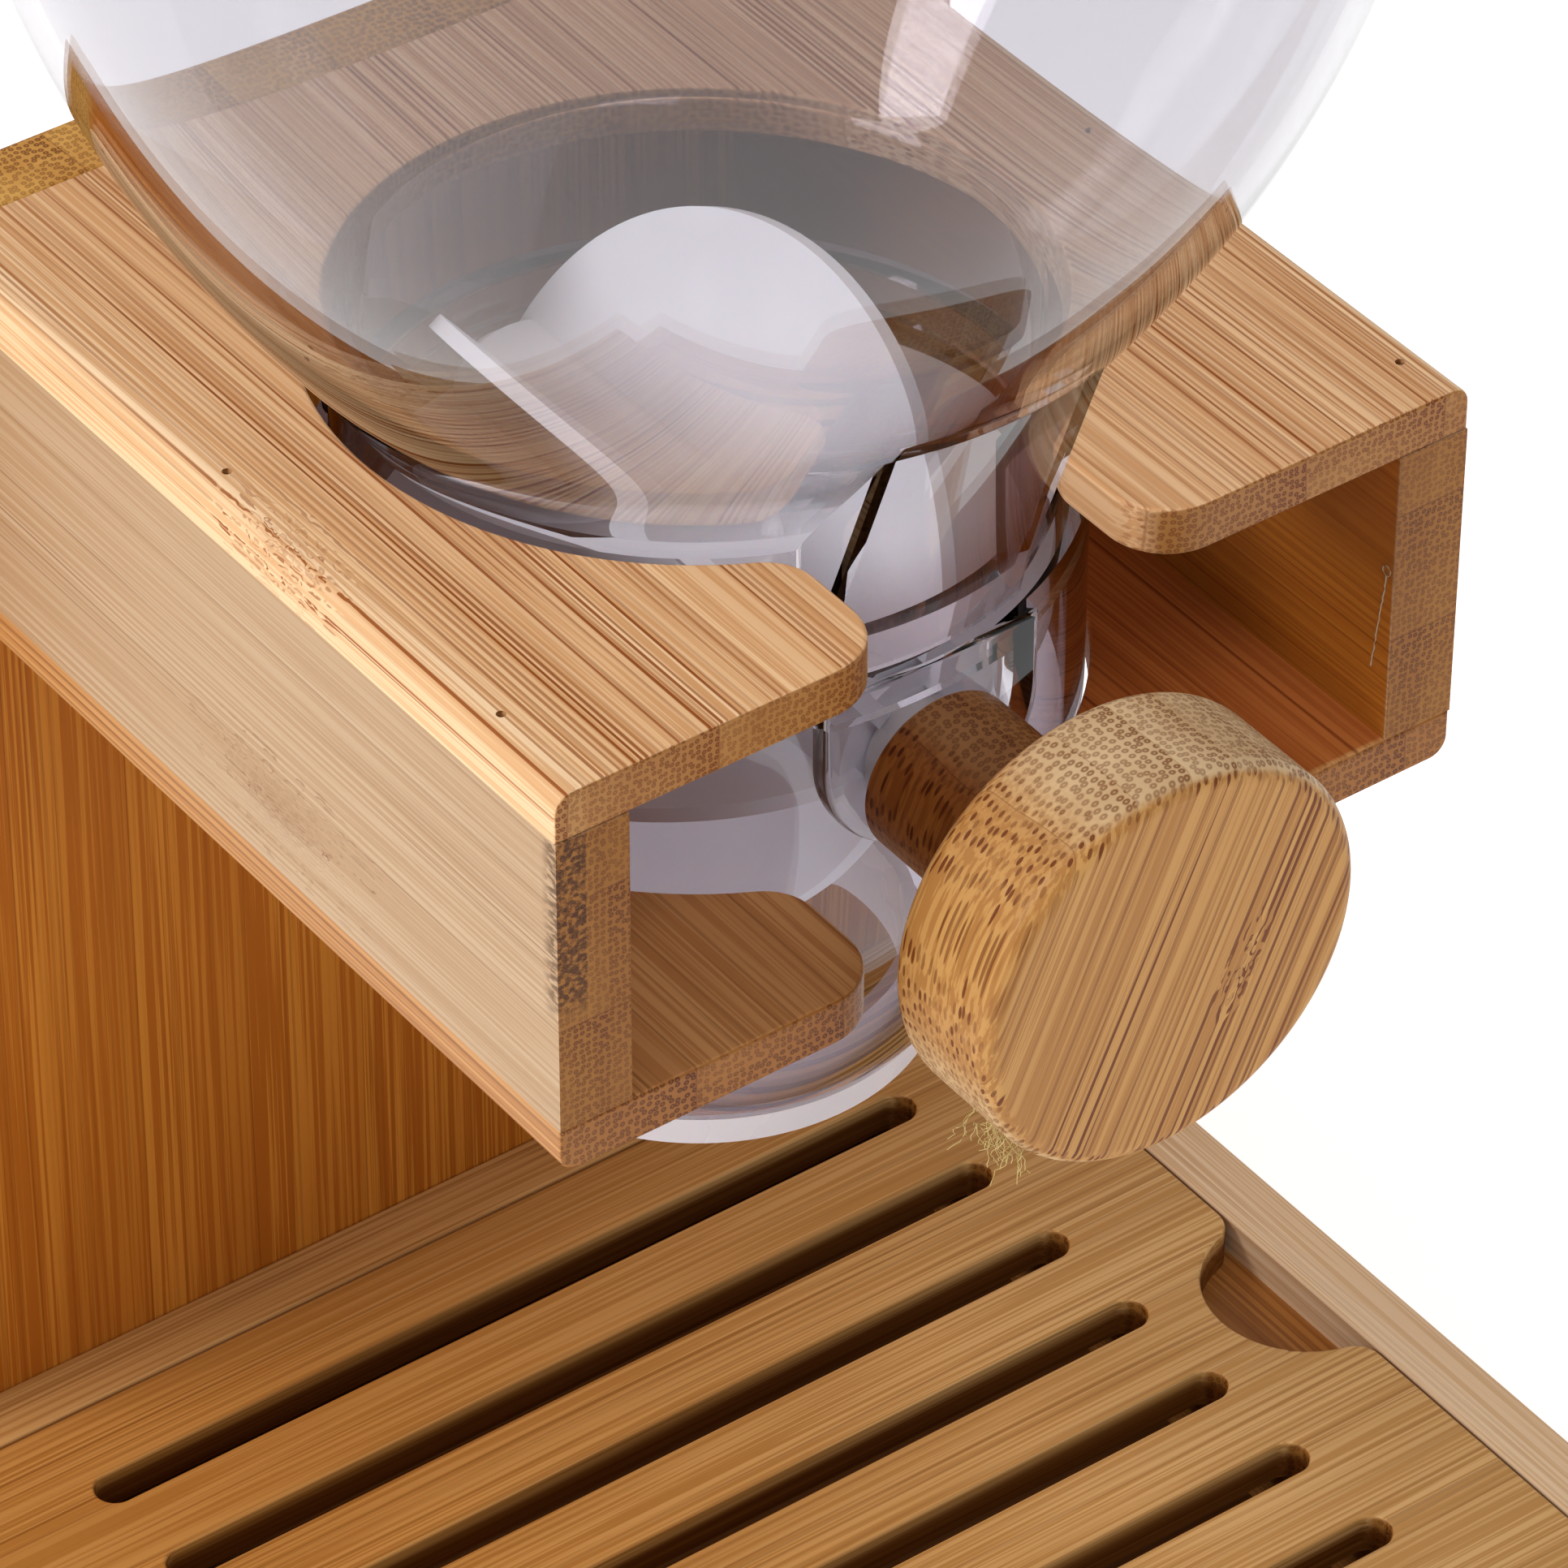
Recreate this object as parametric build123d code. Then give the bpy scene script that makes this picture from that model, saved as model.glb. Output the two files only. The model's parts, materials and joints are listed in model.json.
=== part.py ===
from build123d import *
import math
import os

# Rotary powder and dry-goods dispenser: a clear bowl with a hand-turned paddle wheel, dropped into
# a bamboo bracket on a bamboo stand with a slotted tray.
# Frame: origin on the table under the middle of the whole object, X to the right seen from the
# front, Y to the back, Z up. Millimetres.

# Bowl and wheel axis
BOWL_RADIUS = 102.4
BOWL_Y = 7.6
BOWL_WALL = 3.2
BOWL_EQUATOR_Z = 395.0
BOWL_BELLY_Z = 295.2
BOWL_FLARE_RADIUS = 64.1
BOWL_FLARE_Z = 266.4
BOWL_FOOT_Z = 242.4
BOWL_SHOULDER_RADIUS = 48.0
BOWL_RIM_RADIUS = 80.0
BOWL_TOP_Z = 445.0
WHEEL_Z = 202.4
WHEEL_RADIUS = 49.5

# How far the bowl's curve points move for each millimetre that the inner face is set in
BELLY_RISE = 0.5
FLARE_RISE = 0.68
FLARE_SHRINK = 0.76
FOOT_RISE = 1.52

# Stand
BASE_WIDTH = 220.0
BASE_FRONT = -(BOWL_Y + BOWL_RADIUS)
BASE_TOP = 30.0
FOOT_HEIGHT = 2.0
FOOT_RADIUS = 8.0
FOOT_INSET = 16.0
RAIL_WIDTH = 10.2
FLOOR_THICKNESS = 4.0
CLEAT_WIDTH = 19.8
TRAY_THICKNESS = 7.0
TRAY_GAP = 0.5
PANEL_WIDTH = 210.0
PANEL_THICKNESS = 12.4
PANEL_EDGE_BREAK = 1.0
EDGE_BREAK = 0.6

# Bracket that carries the bowl
BRACKET_WIDTH = 150.0
BRACKET_FRONT = -65.8
BRACKET_BACK = 84.7
BRACKET_TOP = 245.0
BRACKET_HEIGHT = 63.4
PLATE_THICKNESS = 7.5
WALL_THICKNESS = 11.5
CORNER_ROUND = 3.0
HOLE_RADIUS = 54.6
MOUTH_HALF_WIDTH = 21.0
MOUTH_INNER_ROUND = 8.0
MOUTH_OUTER_ROUND = 9.5

# Slotted tray
SLOT_COUNT = 8
SLOT_PITCH = 19.8
SLOT_LENGTH = 153.0
SLOT_WIDTH = 6.5
NOTCH_RADIUS = 16.0
NOTCH_OUTSET = 1.0
NOTCH_ROUND = 4.5

# Clear chute below the bowl
NECK_RADIUS = 50.3
NECK_BORE = 48.9
NECK_END_Z = 214.8
NECK_SEAT_THICKNESS = 1.5
HOUSING_RADIUS = 54.0
HOUSING_WALL = 2.7
HOUSING_TOP_Z = 220.6
HOUSING_STRAIGHT_Z = 187.0
HOUSING_BOTTOM_Z = 132.0
HOUSING_ARC_RADIUS = 93.0
RING_TOP_RADIUS = 36.0
RING_BOTTOM_RADIUS = 34.7
RING_BOTTOM_Z = 126.5
RING_BORE = 30.0
RING_LIP_RADIUS = 32.0
RING_LIP_TOP_Z = 140.0
CHIN_HALF_WIDTH = 17.8
CHIN_WALL = 3.0
CHIN_TOP_RADIUS = 70.8
CHIN_TOP_Z = 275.0
CHIN_KNEE_RADIUS = 54.4
CHIN_KNEE_Z = 228.3
CHIN_FOOT_RADIUS = 52.5
BOSS_HALF_WIDTH = 17.8
BOSS_CENTRE_Z = 208.5
BOSS_FACE = 54.2

# Turning gear, measured along Y from the bowl axis
SPINDLE_RADIUS = 4.0
SPINDLE_FRONT = -94.0
SPINDLE_BACK = 52.0
RUNNING_CLEARANCE = 0.05
BUSH_RADIUS = 6.0
BUSH_FLANGE_RADIUS = 8.0
BUSH_FLANGE_OUTER = 50.4
BUSH_FLANGE_INNER = 47.0
REAR_BUSH_END = 53.4
HUB_HALF_LENGTH = 46.2
HUB_RADIUS = 12.0
CORE_RADIUS = 8.0
CORE_HALF_LENGTH = 42.0
BLADE_COUNT = 6
BLADE_THICKNESS = 2.6
BLADE_START_ANGLE = 6.0
BLADE_RELIEF_RADIUS = 9.2
PIN_RADIUS = 1.5
PIN_LENGTH = 23.0
KNOB_RADIUS = 31.0
KNOB_FRONT = -106.8
KNOB_BACK = -85.2
KNOB_FRONT_ROUND = 2.8
KNOB_BACK_ROUND = 3.6
STEM_RADIUS = 12.5
STEM_END = -55.6

# Lid
LID_RADIUS = 88.0
LID_THICKNESS = 12.0
LID_ROUND = 2.5
PLUG_RADIUS = 73.5
PLUG_HEIGHT = 11.0
SEAL_WIDTH = 3.0
SEAL_HEIGHT = 5.0
SEAL_CLEARANCE = 0.3

# Fixings
SCREW_RADIUS = 2.0
SCREW_HEAD_RADIUS = 4.0
SCREW_HEAD_DEPTH = 2.4
RECESS_WIDTH = 0.9
RECESS_LENGTH = 4.0
RECESS_DEPTH = 1.4
BRACKET_SCREW_LENGTH = 38.0
BASE_SCREW_LENGTH = 20.0
LID_SCREW_LENGTH = 16.0
BRAD_RADIUS = 0.7
BRAD_LENGTH = 16.0
BRAD_SINK = 1.2
BRAD_X = 70.5
BRAD_INSET_LEFT = 18.3
BRAD_INSET_RIGHT = 9.4
BRAD_SPACING = 63.5
BRADS_PER_SIDE = 3
BRACKET_SCREW_INSET = 20.0
BASE_SCREW_Z = 16.0
BASE_SCREW_SPACING = 80.0
LID_SCREW_SPACING = 80.0

HALF_BASE = BASE_WIDTH / 2
HALF_BRACKET = BRACKET_WIDTH / 2
BASE_BACK = BRACKET_BACK
PANEL_BACK = BRACKET_BACK + PANEL_THICKNESS
BRACKET_BOTTOM = BRACKET_TOP - BRACKET_HEIGHT
TRAY_BOTTOM = BASE_TOP - TRAY_THICKNESS
TRAY_FRONT = BASE_FRONT + RAIL_WIDTH + TRAY_GAP
TRAY_BACK = BASE_BACK - RAIL_WIDTH - TRAY_GAP
TRAY_HALF_WIDTH = HALF_BASE - RAIL_WIDTH - TRAY_GAP
TRAY_MIDDLE = (TRAY_FRONT + TRAY_BACK) / 2
FLOOR_TOP = FOOT_HEIGHT + FLOOR_THICKNESS

# How close an edge lies to a named place, and how far a cutting tool runs past the faces it cuts
NEAR = 0.05
OVERRUN = 1.0


def block(x_range, y_range, z_range):
    """Rectangular board from its low and high limits on each axis."""
    size = [high - low for low, high in (x_range, y_range, z_range)]
    middle = [(high + low) / 2 for low, high in (x_range, y_range, z_range)]
    return Pos(*middle) * Box(*size)


def softened(board, radius=EDGE_BREAK):
    """Board with every edge rounded over, as after sanding."""
    return fillet(board.edges(), radius)


def edges_along_y(board, x_limit, z):
    """The board's two long edges at plus and minus x_limit and height z."""
    def is_long_edge(edge):
        middle = edge.center()
        return abs(abs(middle.X) - x_limit) < NEAR and abs(middle.Z - z) < NEAR
    return [edge for edge in board.edges().filter_by(Axis.Y) if is_long_edge(edge)]


def turned(profile):
    """Solid of revolution about the bowl's vertical axis from a radius and height profile."""
    return Pos(0, BOWL_Y, 0) * revolve(profile, Axis.Z)


def half_plane(*lines):
    """Closed face on the XZ plane from joined edges."""
    return make_face([Plane.XZ * line for line in lines])


def ring(inner, outer, low, high):
    """Ring about the bowl's vertical axis."""
    body = Cylinder(outer, high - low) - Cylinder(inner, high - low)
    return Pos(0, BOWL_Y, (low + high) / 2) * body


def rod(radius, start, end):
    """Cylinder along Y on the wheel's axis, placed by distances from the bowl axis."""
    placed = Pos(0, BOWL_Y + (start + end) / 2, WHEEL_Z) * Rot(90, 0, 0)
    return placed * Cylinder(radius, end - start)


def countersunk_screw(length):
    """Wood screw along -Z with its flat head's face at the origin and a cross recess."""
    head = Pos(0, 0, -SCREW_HEAD_DEPTH / 2) * Cone(SCREW_RADIUS, SCREW_HEAD_RADIUS, SCREW_HEAD_DEPTH)
    shank = Pos(0, 0, -(length + SCREW_HEAD_DEPTH) / 2) * Cylinder(SCREW_RADIUS, length - SCREW_HEAD_DEPTH)
    slot = Pos(0, 0, -RECESS_DEPTH / 2) * Box(RECESS_LENGTH, RECESS_WIDTH, RECESS_DEPTH)
    return head + shank - slot - Rot(0, 0, 90) * slot


def screw_space(length):
    """Space that a countersunk screw fills in the wood."""
    head = Pos(0, 0, -SCREW_HEAD_DEPTH / 2) * Cone(SCREW_RADIUS, SCREW_HEAD_RADIUS, SCREW_HEAD_DEPTH)
    return head + Pos(0, 0, -length / 2) * Cylinder(SCREW_RADIUS, length)


def facing_back(x, z):
    """Placement of a screw driven forwards into the back panel."""
    return Pos(x, PANEL_BACK, z) * Rot(-90, 0, 0)


# Screws and brads

bracket_screw_spots = [
    facing_back(side * (HALF_BRACKET - WALL_THICKNESS / 2), height)
    for side in (-1, 1)
    for height in (BRACKET_BOTTOM + BRACKET_SCREW_INSET, BRACKET_TOP - BRACKET_SCREW_INSET)
]
base_screw_spots = [facing_back(step * BASE_SCREW_SPACING, BASE_SCREW_Z) for step in (-1, 0, 1)]
lid_screw_spots = [
    Pos(side * LID_SCREW_SPACING / 2, BOWL_Y, BOWL_TOP_Z - PLUG_HEIGHT) * Rot(180, 0, 0)
    for side in (-1, 1)
]


def brad_spots():
    """Middle of each brad, set through the plates into the walls below and above."""
    for side, inset in ((-1, BRAD_INSET_LEFT), (1, BRAD_INSET_RIGHT)):
        for row in range(BRADS_PER_SIDE):
            y = BRACKET_FRONT + inset + row * BRAD_SPACING
            yield side * BRAD_X, y, BRACKET_TOP - BRAD_SINK - BRAD_LENGTH / 2
            yield side * BRAD_X, y, BRACKET_BOTTOM + BRAD_SINK + BRAD_LENGTH / 2


def brads():
    return [Pos(*spot) * Cylinder(BRAD_RADIUS, BRAD_LENGTH) for spot in brad_spots()]


def brad_holes():
    """Drill paths of the brads, open to the outside of the plates."""
    return [Pos(*spot) * Cylinder(BRAD_RADIUS, BRAD_LENGTH + 2 * BRAD_SINK) for spot in brad_spots()]


def cut_each(board, tools):
    for tool in tools:
        board = board - tool
    return board


# Stand

def side_rail(side):
    x_range = sorted((side * HALF_BASE, side * (HALF_BASE - RAIL_WIDTH)))
    return softened(block(x_range, (BASE_FRONT, BASE_BACK), (FOOT_HEIGHT, BASE_TOP)))


def cross_rail(y_range):
    inside = HALF_BASE - RAIL_WIDTH
    return softened(block((-inside, inside), y_range, (FOOT_HEIGHT, BASE_TOP)))


def base_floor():
    inside = HALF_BASE - RAIL_WIDTH
    y_range = (BASE_FRONT + RAIL_WIDTH, BASE_BACK - RAIL_WIDTH)
    return block((-inside, inside), y_range, (FOOT_HEIGHT, FLOOR_TOP))


def tray_cleat(side):
    outer = HALF_BASE - RAIL_WIDTH
    x_range = sorted((side * outer, side * (outer - CLEAT_WIDTH)))
    y_range = (BASE_FRONT + RAIL_WIDTH, BASE_BACK - RAIL_WIDTH)
    return block(x_range, y_range, (FLOOR_TOP, TRAY_BOTTOM))


def rubber_feet():
    reach_x = HALF_BASE - RAIL_WIDTH - FOOT_INSET
    rows = (BASE_FRONT + RAIL_WIDTH + FOOT_INSET, BASE_BACK - RAIL_WIDTH - FOOT_INSET)
    foot = Pos(0, 0, FOOT_HEIGHT / 2) * Cylinder(FOOT_RADIUS, FOOT_HEIGHT)
    return Compound([Pos(side * reach_x, y, 0) * foot for side in (-1, 1) for y in rows])


def back_panel():
    half = PANEL_WIDTH / 2
    panel = block((-half, half), (BRACKET_BACK, PANEL_BACK), (FOOT_HEIGHT, BRACKET_TOP))
    panel = softened(panel, PANEL_EDGE_BREAK)
    panel = cut_each(panel, [spot * screw_space(BRACKET_SCREW_LENGTH) for spot in bracket_screw_spots])
    return cut_each(panel, [spot * screw_space(BASE_SCREW_LENGTH) for spot in base_screw_spots])


def rear_rail():
    rail = cross_rail((BASE_BACK - RAIL_WIDTH, BASE_BACK))
    return cut_each(rail, [spot * screw_space(BASE_SCREW_LENGTH) for spot in base_screw_spots])


# Bracket

def keyhole_plate(low, outer_z):
    """Plate with the round seat for the chute and a mouth open to the front."""
    span = (low, low + PLATE_THICKNESS)
    plate = block((-HALF_BRACKET, HALF_BRACKET), (BRACKET_FRONT, BRACKET_BACK), span)
    plate -= ring(0, HOLE_RADIUS, *span)
    plate -= block((-MOUTH_HALF_WIDTH, MOUTH_HALF_WIDTH), (BRACKET_FRONT, 0), span)
    mouth_corner = BOWL_Y - math.sqrt(HOLE_RADIUS**2 - MOUTH_HALF_WIDTH**2)

    def mouth_uprights(y):
        chosen = plate.edges().filter_by(Axis.Z)
        chosen = [edge for edge in chosen if abs(edge.center().X) < HOLE_RADIUS]
        return [edge for edge in chosen if abs(edge.center().Y - y) < NEAR]

    plate = fillet(mouth_uprights(mouth_corner), MOUTH_INNER_ROUND)
    plate = fillet(mouth_uprights(BRACKET_FRONT), MOUTH_OUTER_ROUND)
    plate = fillet(edges_along_y(plate, HALF_BRACKET, outer_z), CORNER_ROUND)
    front_edges = [edge for edge in plate.edges() if abs(edge.center().Y - BRACKET_FRONT) < NEAR]
    front_edges = [edge for edge in front_edges if edge.length > MOUTH_HALF_WIDTH]
    plate = fillet(front_edges, EDGE_BREAK)
    return cut_each(plate, brad_holes())


def bracket_wall(side):
    x_range = sorted((side * HALF_BRACKET, side * (HALF_BRACKET - WALL_THICKNESS)))
    z_range = (BRACKET_BOTTOM + PLATE_THICKNESS, BRACKET_TOP - PLATE_THICKNESS)
    wall = block(x_range, (BRACKET_FRONT, BRACKET_BACK), z_range)
    wall = cut_each(wall, [spot * screw_space(BRACKET_SCREW_LENGTH) for spot in bracket_screw_spots])
    return cut_each(wall, brads())


# Slotted tray

def slotted_tray():
    x_range = (-TRAY_HALF_WIDTH, TRAY_HALF_WIDTH)
    tray = block(x_range, (TRAY_FRONT, TRAY_BACK), (TRAY_BOTTOM, BASE_TOP))
    middle_z = (TRAY_BOTTOM + BASE_TOP) / 2
    for side in (-1, 1):
        centre = Pos(side * (TRAY_HALF_WIDTH + NOTCH_OUTSET), TRAY_MIDDLE, middle_z)
        tray -= centre * Cylinder(NOTCH_RADIUS, TRAY_THICKNESS)
    half_chord = math.sqrt(NOTCH_RADIUS**2 - NOTCH_OUTSET**2)

    def is_notch_corner(edge):
        return abs(abs(edge.center().Y - TRAY_MIDDLE) - half_chord) < NEAR

    tray = fillet([edge for edge in tray.edges().filter_by(Axis.Z) if is_notch_corner(edge)], NOTCH_ROUND)
    slot = extrude(SlotOverall(SLOT_LENGTH, SLOT_WIDTH), TRAY_THICKNESS)
    first = TRAY_MIDDLE - SLOT_PITCH * (SLOT_COUNT - 1) / 2
    for row in range(SLOT_COUNT):
        tray -= Pos(0, first + row * SLOT_PITCH, TRAY_BOTTOM) * slot
    top_edges = [edge for edge in tray.edges() if abs(edge.center().Z - BASE_TOP) < NEAR]
    return fillet(top_edges, EDGE_BREAK)


# Bowl

def bowl_form(inset, foot_radius, low, top):
    """Solid bowl shape set in from its outer face, on a straight neck of foot_radius down to low."""
    radius = BOWL_RADIUS - inset
    rim = BOWL_RIM_RADIUS - inset
    foot = (foot_radius, BOWL_FOOT_Z + FOOT_RISE * inset)
    flare = (BOWL_FLARE_RADIUS - FLARE_SHRINK * inset, BOWL_FLARE_Z + FLARE_RISE * inset)
    belly = (radius, BOWL_BELLY_Z + BELLY_RISE * inset)
    equator = (radius, BOWL_EQUATOR_Z)
    reach = rim - (BOWL_RADIUS - BOWL_SHOULDER_RADIUS)
    rim_z = BOWL_EQUATOR_Z + math.sqrt((BOWL_SHOULDER_RADIUS - inset)**2 - reach**2)
    return turned(half_plane(
        Bezier(foot, flare, belly, equator),
        TangentArc(equator, (rim, rim_z), tangent=(0, 1)),
        Polyline((rim, rim_z), (rim, top), (0, top), (0, low), (foot_radius, low), foot),
    ))


def chin_form(half_width, inset, low):
    """Tapering chin in front of the neck: a wedge of a cone between two upright sides."""
    cone = turned(half_plane(Polyline(
        (CHIN_FOOT_RADIUS - inset, low),
        (CHIN_KNEE_RADIUS - inset, CHIN_KNEE_Z),
        (CHIN_TOP_RADIUS - inset, CHIN_TOP_Z),
        (0, CHIN_TOP_Z),
        (0, low),
        close=True,
    )))
    return cone & block((-half_width, half_width), (BOWL_Y - CHIN_TOP_RADIUS, BOWL_Y), (low, CHIN_TOP_Z))


def hopper_bowl():
    bowl = bowl_form(0, NECK_RADIUS, NECK_END_Z, BOWL_TOP_Z)
    bowl += chin_form(CHIN_HALF_WIDTH, 0, HOUSING_TOP_Z)
    bowl -= bowl_form(BOWL_WALL, NECK_BORE, NECK_END_Z - OVERRUN, BOWL_TOP_Z + OVERRUN)
    return bowl - chin_form(CHIN_HALF_WIDTH - CHIN_WALL, CHIN_WALL, CHIN_KNEE_Z)


# Chute with the paddle wheel's chamber

def chute_form(inset, low, high):
    """Round chute that narrows to its outlet, set in from its outer face."""
    radius = HOUSING_RADIUS - inset
    arc_radius = HOUSING_ARC_RADIUS - inset
    arc_middle = HOUSING_RADIUS - HOUSING_ARC_RADIUS
    drop = HOUSING_STRAIGHT_Z - low
    end = (arc_middle + math.sqrt(arc_radius**2 - drop**2), low)
    return turned(half_plane(
        TangentArc((radius, HOUSING_STRAIGHT_Z), end, tangent=(0, -1)),
        Polyline(end, (0, low), (0, high), (radius, high), (radius, HOUSING_STRAIGHT_Z)),
    ))


def shaft_boss():
    """Upright arch pad that carries the front bush, flush with the chute's top."""
    front = BOWL_Y - BOSS_FACE
    x_range = (-BOSS_HALF_WIDTH, BOSS_HALF_WIDTH)
    lying = Pos(0, (front + BOWL_Y) / 2, BOSS_CENTRE_Z) * Rot(90, 0, 0)
    arch = lying * Cylinder(BOSS_HALF_WIDTH, BOSS_FACE)
    arch &= block(x_range, (front, BOWL_Y), (BOSS_CENTRE_Z - BOSS_HALF_WIDTH, BOSS_CENTRE_Z))
    return arch + block(x_range, (front, BOWL_Y), (BOSS_CENTRE_Z, HOUSING_TOP_Z))


def wheel_housing():
    seat_low = NECK_END_Z - NECK_SEAT_THICKNESS
    housing = chute_form(0, HOUSING_BOTTOM_Z, HOUSING_TOP_Z) + shaft_boss()
    housing -= chute_form(HOUSING_WALL, HOUSING_BOTTOM_Z - OVERRUN, seat_low)
    housing -= ring(0, NECK_BORE, seat_low - OVERRUN, NECK_END_Z)
    housing -= ring(0, NECK_RADIUS, NECK_END_Z, HOUSING_TOP_Z + OVERRUN)
    return housing - rod(BUSH_RADIUS, -BOSS_FACE - OVERRUN, HOUSING_RADIUS + OVERRUN)


def outlet_ring():
    """Ring under the chute, tapering to its lower edge, with a lip inside the chute's wall."""
    height = HOUSING_BOTTOM_Z - RING_BOTTOM_Z
    collar = Pos(0, BOWL_Y, RING_BOTTOM_Z + height / 2) * Cone(RING_BOTTOM_RADIUS, RING_TOP_RADIUS, height)
    lip = ring(0, RING_LIP_RADIUS, HOUSING_BOTTOM_Z, RING_LIP_TOP_Z)
    return collar + lip - ring(0, RING_BORE, RING_BOTTOM_Z, RING_LIP_TOP_Z)


def bush(direction, outer_end):
    """Flanged bush in the chute's wall; direction -1 is the front, 1 the rear."""
    def span(radius, near, far):
        low, high = sorted((direction * near, direction * far))
        return rod(radius, low, high)
    body = span(BUSH_RADIUS, BUSH_FLANGE_INNER, outer_end)
    body += span(BUSH_FLANGE_RADIUS, BUSH_FLANGE_INNER, BUSH_FLANGE_OUTER)
    return body - span(SPINDLE_RADIUS + RUNNING_CLEARANCE, BUSH_FLANGE_INNER, outer_end)


# Turning gear

def cross_pin():
    return Pos(0, BOWL_Y, WHEEL_Z) * Cylinder(PIN_RADIUS, PIN_LENGTH)


def paddle_wheel():
    wheel = rod(HUB_RADIUS, -HUB_HALF_LENGTH, HUB_HALF_LENGTH)
    half_disc = Cylinder(WHEEL_RADIUS, BLADE_THICKNESS)
    half_disc -= Pos(-WHEEL_RADIUS / 2, 0, 0) * Box(WHEEL_RADIUS, 2 * WHEEL_RADIUS, BLADE_THICKNESS)
    for blade in range(BLADE_COUNT):
        angle = BLADE_START_ANGLE + blade * 360 / BLADE_COUNT
        wheel += Pos(0, BOWL_Y, WHEEL_Z) * Rot(0, -angle, 0) * half_disc
    for direction in (-1, 1):
        low, high = sorted((direction * HUB_HALF_LENGTH, direction * WHEEL_RADIUS))
        wheel -= rod(BLADE_RELIEF_RADIUS, low, high)
    wheel -= rod(CORE_RADIUS, -CORE_HALF_LENGTH, CORE_HALF_LENGTH)
    wheel -= rod(SPINDLE_RADIUS, -WHEEL_RADIUS, WHEEL_RADIUS)
    return wheel - cross_pin()


def wheel_core():
    core = rod(CORE_RADIUS, -CORE_HALF_LENGTH, CORE_HALF_LENGTH)
    return core - rod(SPINDLE_RADIUS, -CORE_HALF_LENGTH, CORE_HALF_LENGTH) - cross_pin()


def turning_knob():
    """Knob and stem turned from one laminated block."""
    disc = rod(KNOB_RADIUS, KNOB_FRONT, KNOB_BACK)
    rims = disc.edges().filter_by(GeomType.CIRCLE).sort_by(Axis.Y)
    disc = fillet(rims[0], KNOB_FRONT_ROUND)
    rims = disc.edges().filter_by(GeomType.CIRCLE).sort_by(Axis.Y)
    disc = fillet(rims[-1], KNOB_BACK_ROUND)
    knob = disc + rod(STEM_RADIUS, KNOB_BACK, STEM_END)
    return knob - rod(SPINDLE_RADIUS, SPINDLE_FRONT, STEM_END)


def drive_spindle():
    return rod(SPINDLE_RADIUS, SPINDLE_FRONT, SPINDLE_BACK) - cross_pin()


# Lid

def lid_board():
    low = BOWL_TOP_Z + SEAL_CLEARANCE
    board = ring(0, LID_RADIUS, low, low + LID_THICKNESS)
    board = fillet(board.edges().filter_by(GeomType.CIRCLE), LID_ROUND)
    return cut_each(board, [spot * screw_space(LID_SCREW_LENGTH) for spot in lid_screw_spots])


def seal_span(inner, outer):
    middle = BOWL_TOP_Z - PLUG_HEIGHT / 2
    return ring(inner, outer, middle - SEAL_HEIGHT / 2, middle + SEAL_HEIGHT / 2)


def lid_plug():
    plug = ring(0, PLUG_RADIUS, BOWL_TOP_Z - PLUG_HEIGHT, BOWL_TOP_Z + SEAL_CLEARANCE)
    plug -= seal_span(PLUG_RADIUS - SEAL_WIDTH / 2, PLUG_RADIUS)
    return cut_each(plug, [spot * screw_space(LID_SCREW_LENGTH) for spot in lid_screw_spots])


def lid_seal():
    bore = BOWL_RIM_RADIUS - BOWL_WALL
    return seal_span(PLUG_RADIUS - SEAL_WIDTH / 2, bore - SEAL_CLEARANCE)


def screws(spots, length):
    return Compound([spot * countersunk_screw(length) for spot in spots])


PARTS = {
    "base_rail_front": cross_rail((BASE_FRONT, BASE_FRONT + RAIL_WIDTH)),
    "base_rail_rear": rear_rail(),
    "base_rail_left": side_rail(-1),
    "base_rail_right": side_rail(1),
    "base_floor": base_floor(),
    "tray_cleat_left": tray_cleat(-1),
    "tray_cleat_right": tray_cleat(1),
    "rubber_feet": rubber_feet(),
    "back_panel": back_panel(),
    "base_screws": screws(base_screw_spots, BASE_SCREW_LENGTH),
    "bracket_top_plate": keyhole_plate(BRACKET_TOP - PLATE_THICKNESS, BRACKET_TOP),
    "bracket_bottom_plate": keyhole_plate(BRACKET_BOTTOM, BRACKET_BOTTOM),
    "bracket_wall_left": bracket_wall(-1),
    "bracket_wall_right": bracket_wall(1),
    "bracket_screws": screws(bracket_screw_spots, BRACKET_SCREW_LENGTH),
    "brad_nails": Compound(brads()),
    "slotted_tray": slotted_tray(),
    "hopper_bowl": hopper_bowl(),
    "wheel_housing": wheel_housing(),
    "outlet_ring": outlet_ring(),
    "front_bush": bush(-1, BOSS_FACE),
    "rear_bush": bush(1, REAR_BUSH_END),
    "turning_knob": turning_knob(),
    "drive_spindle": drive_spindle(),
    "wheel_core": wheel_core(),
    "hub_pin": cross_pin(),
    "paddle_wheel": paddle_wheel(),
    "lid_board": lid_board(),
    "lid_plug": lid_plug(),
    "lid_seal": lid_seal(),
    "lid_screws": screws(lid_screw_spots, LID_SCREW_LENGTH),
}

os.makedirs("parts", exist_ok=True)
for name, shape in PARTS.items():
    export_step(shape, f"parts/{name}.step")
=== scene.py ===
import json
import math
import random

import bmesh
import bpy
from mathutils import Matrix, Vector


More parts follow.
